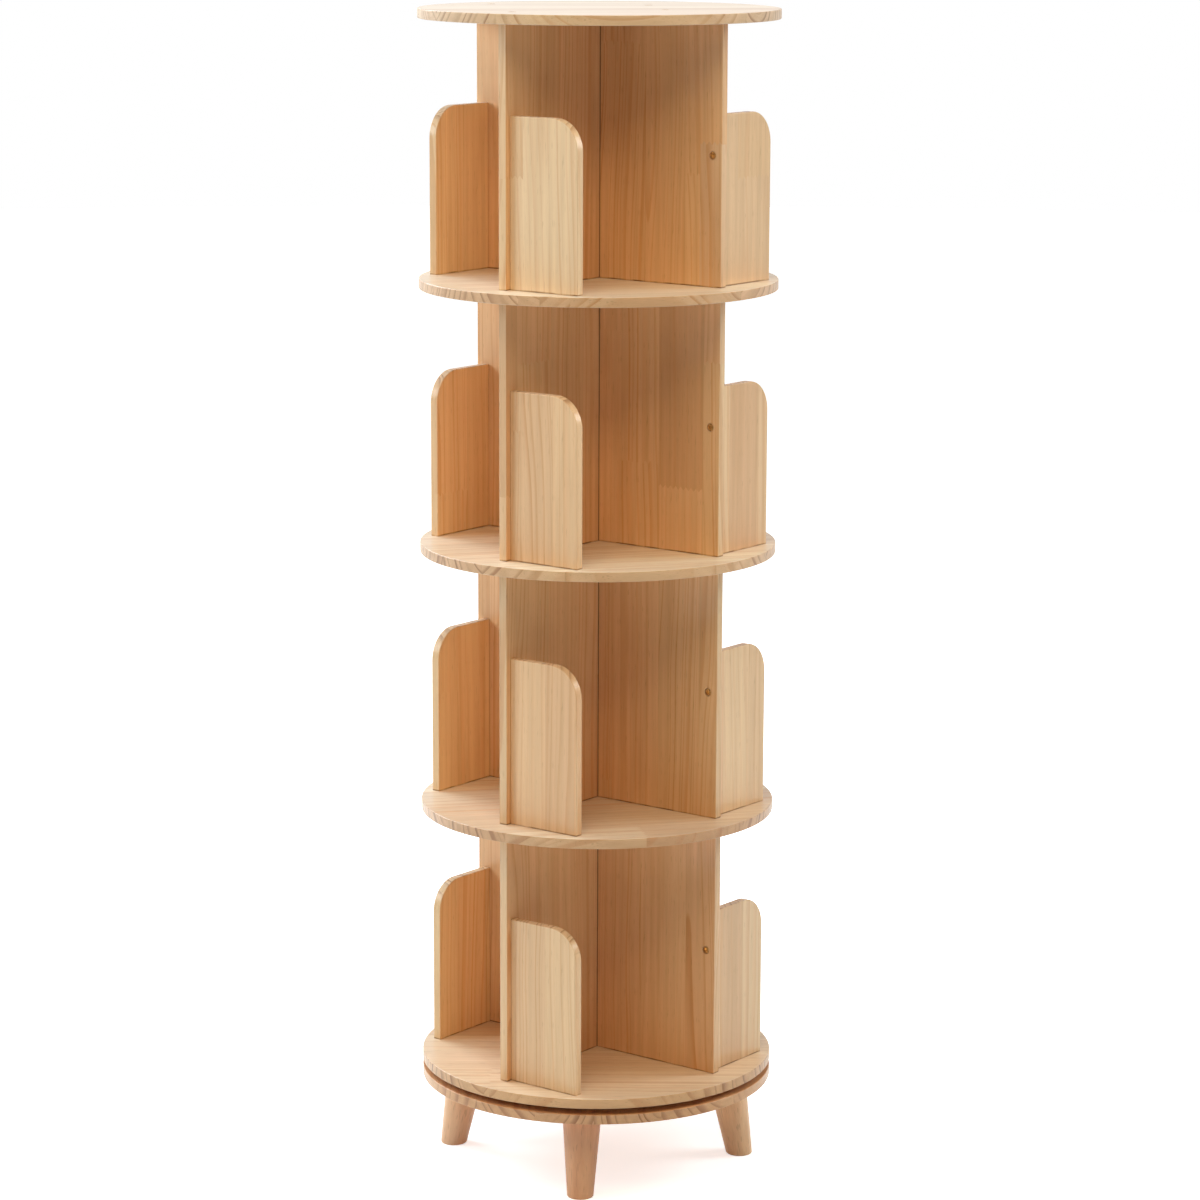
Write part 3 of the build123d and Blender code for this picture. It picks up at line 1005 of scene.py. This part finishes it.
def modelScrew(sizes, length):  # head's face at height 0, point down
    headRadius, shankRadius, socketRadius = (sizes[name] / 2 for name in ("head", "shank", "socket"))
    headDepth = headRadius - shankRadius
    socketDepth = sizes["socket"] * screwForm["socketDepth"]
    stem = length - headDepth - shankRadius
    slim, point = shankRadius / headRadius, screwForm["pointShare"]
    onSocket, onRim = socketRadius * screwForm["socketBand"], headRadius * screwForm["rimBand"]

    def onTop(edge, least, most):  # at height 0, between two reaches from the axis
        return all(abs(vert.co.z) < weld and least < vert.co.xy.length < most for vert in edge.verts)

    bpy.ops.object.select_all(action="DESELECT")
    bpy.ops.mesh.primitive_cylinder_add(
        vertices=screwForm["sides"], radius=headRadius, depth=headDepth, location=(0, 0, -headDepth / 2)
    )
    screw = bpy.context.active_object
    bpy.ops.object.transform_apply(location=True, rotation=True, scale=True)
    bpy.ops.object.mode_set(mode="EDIT")
    selectFaces(screw, lambda face: face.normal.z < -0.9)
    bpy.ops.transform.resize(value=(slim, slim, 1), center_override=(0, 0, -headDepth))
    bpy.ops.mesh.extrude_region_move(TRANSFORM_OT_translate={"value": (0, 0, -stem)})
    bpy.ops.mesh.extrude_region_move(TRANSFORM_OT_translate={"value": (0, 0, -shankRadius)})
    bpy.ops.transform.resize(value=(point, point, 1), center_override=(0, 0, -length))
    selectFaces(screw, lambda face: face.normal.z > 0.9)
    bpy.ops.mesh.delete(type="ONLY_FACE")
    bpy.ops.mesh.select_all(action="DESELECT")
    bpy.ops.mesh.primitive_circle_add(
        vertices=screwForm["socketSides"], radius=socketRadius, location=(0, 0, 0)
    )
    selectEdges(screw, lambda edge: onTop(edge, 0, math.inf))
    bpy.ops.mesh.bridge_edge_loops()
    selectEdges(screw, lambda edge: onTop(edge, 0, onSocket))
    bpy.ops.mesh.extrude_region_move(TRANSFORM_OT_translate={"value": (0, 0, -socketDepth)})
    bpy.ops.mesh.edge_face_add()
    selectEdges(screw, lambda edge: onTop(edge, onRim, math.inf))
    roundEdges(screwForm["rimEase"], screwForm["rimSegments"])
    bpy.ops.mesh.select_all(action="SELECT")
    bpy.ops.mesh.normals_make_consistent(inside=False)
    objectMode()
    return screw


def makeScrews(node, sizes):
    heads = screwHeads(node)
    sink = screwForm["sink"]
    pattern = modelScrew(sizes, heads[0][2] - sink)
    places = []
    for middle, direction, _ in heads:
        turn = direction.to_track_quat("-Z", "Y").to_matrix().to_4x4()
        places.append(Matrix.Translation(middle + direction * sink) @ turn)
    piece = copyTo(pattern, places, node + "_round")
    smoothOff(piece, screwForm["sharpFrom"])
    settle(piece, node, screwMetal[sizes["slot"]])


for node, sizes in screwSizes.items():
    makeScrews(node, sizes)
print("screws done")

# the turntable: two turned rings, steel balls and nylon spacers

ballForm = {"cuts": 8}
nylonLook = {
    "light": (0.80, 0.78, 0.71, 1.0),
    "shade": (0.70, 0.68, 0.61, 1.0),
    "roughness": (0.42, 0.56),
    "mottle": (260.0, 3.0, 0.55),  # scale, detail, roughness
    "bumpStrength": 0.1,
    "bumpDistance": 0.0001,
}


def makeBalls(node):
    boxes = [boxOf(points) for points in islands(node)]
    width = boxes[0][1].z - boxes[0][0].z
    bpy.ops.object.select_all(action="DESELECT")
    bpy.ops.mesh.primitive_cube_add(size=width)
    ball = bpy.context.active_object
    editAll(ball)
    bpy.ops.mesh.subdivide(number_cuts=ballForm["cuts"])
    objectMode()
    applyModifier(ball, "CAST", cast_type="SPHERE", factor=1.0, size=width / 2)
    piece = copyTo(ball, [Matrix.Translation((low + high) / 2) for low, high in boxes], node + "_round")
    bpy.ops.object.shade_smooth()
    settle(piece, node, platedMetal("polishedSteel", ballLook))


def mouldedNylon(name, look):
    material, tree, shader = newMaterial(name)
    place = tree.nodes.new("ShaderNodeTexCoord").outputs["Object"]
    mottle = noise(tree, place, *look["mottle"])
    tree.links.new(blendColors(tree, mottle, look["light"], look["shade"]), shader.inputs["Base Color"])
    tree.links.new(stretch(tree, mottle, *look["roughness"]), shader.inputs["Roughness"])
    bumpFrom(tree, shader, mottle, look)
    return material


def dress(node, material):  # a CAD node that stays, with a better material
    nodes[node].data.materials.clear()
    nodes[node].data.materials.append(material)


makeBalls("bearing_balls")
turnedAluminium = platedMetal("turnedAluminium", ringLook, turned=True)
dress("bearing_inner_ring", turnedAluminium)
dress("bearing_outer_ring", turnedAluminium)
dress("ball_spacers", mouldedNylon("mouldedNylon", nylonLook))
print("turntable done")

# floor, lights and camera

floorLook = {
    "sides": 96,
    "radius": 12.0,
    "color": (0.88, 0.90, 0.92, 1.0),
    "roughness": 0.8,
    "nearLift": 0.67,  # white added near the feet, where the shadow falls
    "farLift": 1.0,
    "near": 0.35,
    "far": 1.3,
}
worldLook = {"fillStrength": 0.03}
pureWhite = (1, 1, 1, 1)


def seenShare(tree):  # 1 for what the camera sees, also by a mirror or through glass
    path = tree.nodes.new("ShaderNodeLightPath").outputs
    seen = calc(tree, "MAXIMUM", path["Is Camera Ray"], path["Is Glossy Ray"])
    return calc(tree, "MAXIMUM", seen, path["Is Transmission Ray"])


def makeFloor(look):
    bpy.ops.object.select_all(action="DESELECT")
    bpy.ops.mesh.primitive_circle_add(vertices=look["sides"], radius=look["radius"], fill_type="NGON")
    floor = bpy.context.active_object
    floor.name = "floor"
    material, tree, shader = newMaterial("paleFloor")
    shader.inputs["Base Color"].default_value = look["color"]
    shader.inputs["Roughness"].default_value = look["roughness"]
    lift = tree.nodes.new("ShaderNodeEmission")
    lift.inputs["Color"].default_value = pureWhite
    away = tree.nodes.new("ShaderNodeVectorMath")
    away.operation = "LENGTH"
    tree.links.new(tree.nodes.new("ShaderNodeTexCoord").outputs["Object"], away.inputs[0])
    white = fade(tree, away.outputs["Value"], look["near"], look["far"], look["nearLift"], look["farLift"])
    tree.links.new(calc(tree, "MULTIPLY", seenShare(tree), white), lift.inputs["Strength"])
    both = tree.nodes.new("ShaderNodeAddShader")
    tree.links.new(shader.outputs[0], both.inputs[0])
    tree.links.new(lift.outputs[0], both.inputs[1])
    tree.links.new(both.outputs[0], tree.nodes["Material Output"].inputs["Surface"])
    floor.data.materials.append(material)


def makeWorld(look):
    world = bpy.data.worlds.new("whiteStudio")
    bpy.context.scene.world = world
    world.use_nodes = True
    tree = world.node_tree
    background = tree.nodes["Background"]
    background.inputs["Color"].default_value = pureWhite
    tree.links.new(stretch(tree, seenShare(tree), look["fillStrength"], 1.0), background.inputs["Strength"])


lampLook = {  # azimuth from -Y towards +X, in degrees
    "keySoftbox": {"azimuth": -49.5, "elevation": 24, "size": 1.2, "power": 43, "color": (0.83, 0.92, 1.0)},
    "leftSoftbox": {"azimuth": -92.5, "elevation": 28, "size": 1.6, "power": 93, "color": (0.76, 0.90, 1.0)},
    "rightSoftbox": {"azimuth": 137.5, "elevation": 28, "size": 1.4, "power": 51, "color": (0.91, 0.97, 1.0)},
    "frontSoftbox": {"azimuth": 37.5, "elevation": 58, "size": 2.0, "power": 56, "color": (1.0, 0.84, 0.56)},
    "topSoftbox": {"azimuth": 37.5, "elevation": 80, "size": 2.0, "power": 10, "color": (0.80, 0.92, 1.0)},
}
lampDistance = 3.2


def wayTo(azimuth, elevation):  # direction from angles in degrees, the first from -Y towards +X
    level = Matrix.Rotation(math.radians(azimuth), 3, "Z") @ Vector((0, -1, 0))
    return level * math.cos(math.radians(elevation)) + upward * math.sin(math.radians(elevation))


def makeLamp(name, look, aim):
    away = wayTo(look["azimuth"], look["elevation"])
    lamp = bpy.data.lights.new(name, "AREA")
    lamp.energy, lamp.size, lamp.color = look["power"], look["size"], look["color"]
    holder = bpy.data.objects.new(name, lamp)
    bpy.context.scene.collection.objects.link(holder)
    holder.location = aim + away * lampDistance
    holder.visible_camera = False
    holder.rotation_euler = (-away).to_track_quat("-Z", "Y").to_euler()


cameraLook = {  # solved from the outlines of the discs
    "azimuth": 37.5,
    "distance": 4.267,
    "height": 1.481,
    "pitch": 11.05,
    "yaw": 0.036,
    "roll": 0.185,
    "lens": 115.4,
    "sensor": 36.0,
}


def makeCamera(look):
    data = bpy.data.cameras.new("photoCamera")
    data.lens, data.sensor_width = look["lens"], look["sensor"]
    camera = bpy.data.objects.new("photoCamera", data)
    bpy.context.scene.collection.objects.link(camera)
    place = wayTo(look["azimuth"], 0) * look["distance"] + upward * look["height"]
    turn = Matrix.Rotation(math.radians(look["azimuth"] - look["yaw"]), 4, "Z")
    turn = turn @ Matrix.Rotation(math.radians(90 - look["pitch"]), 4, "X")
    turn = turn @ Matrix.Rotation(math.radians(look["roll"]), 4, "Z")
    camera.matrix_world = Matrix.Translation(place) @ turn
    bpy.context.scene.camera = camera


makeFloor(floorLook)
makeWorld(worldLook)
for name, look in lampLook.items():
    makeLamp(name, look, (cadBox[0] + cadBox[1]) / 2)
makeCamera(cameraLook)
bpy.context.scene.view_settings.view_transform = "Standard"
print("floor, lights and camera done")
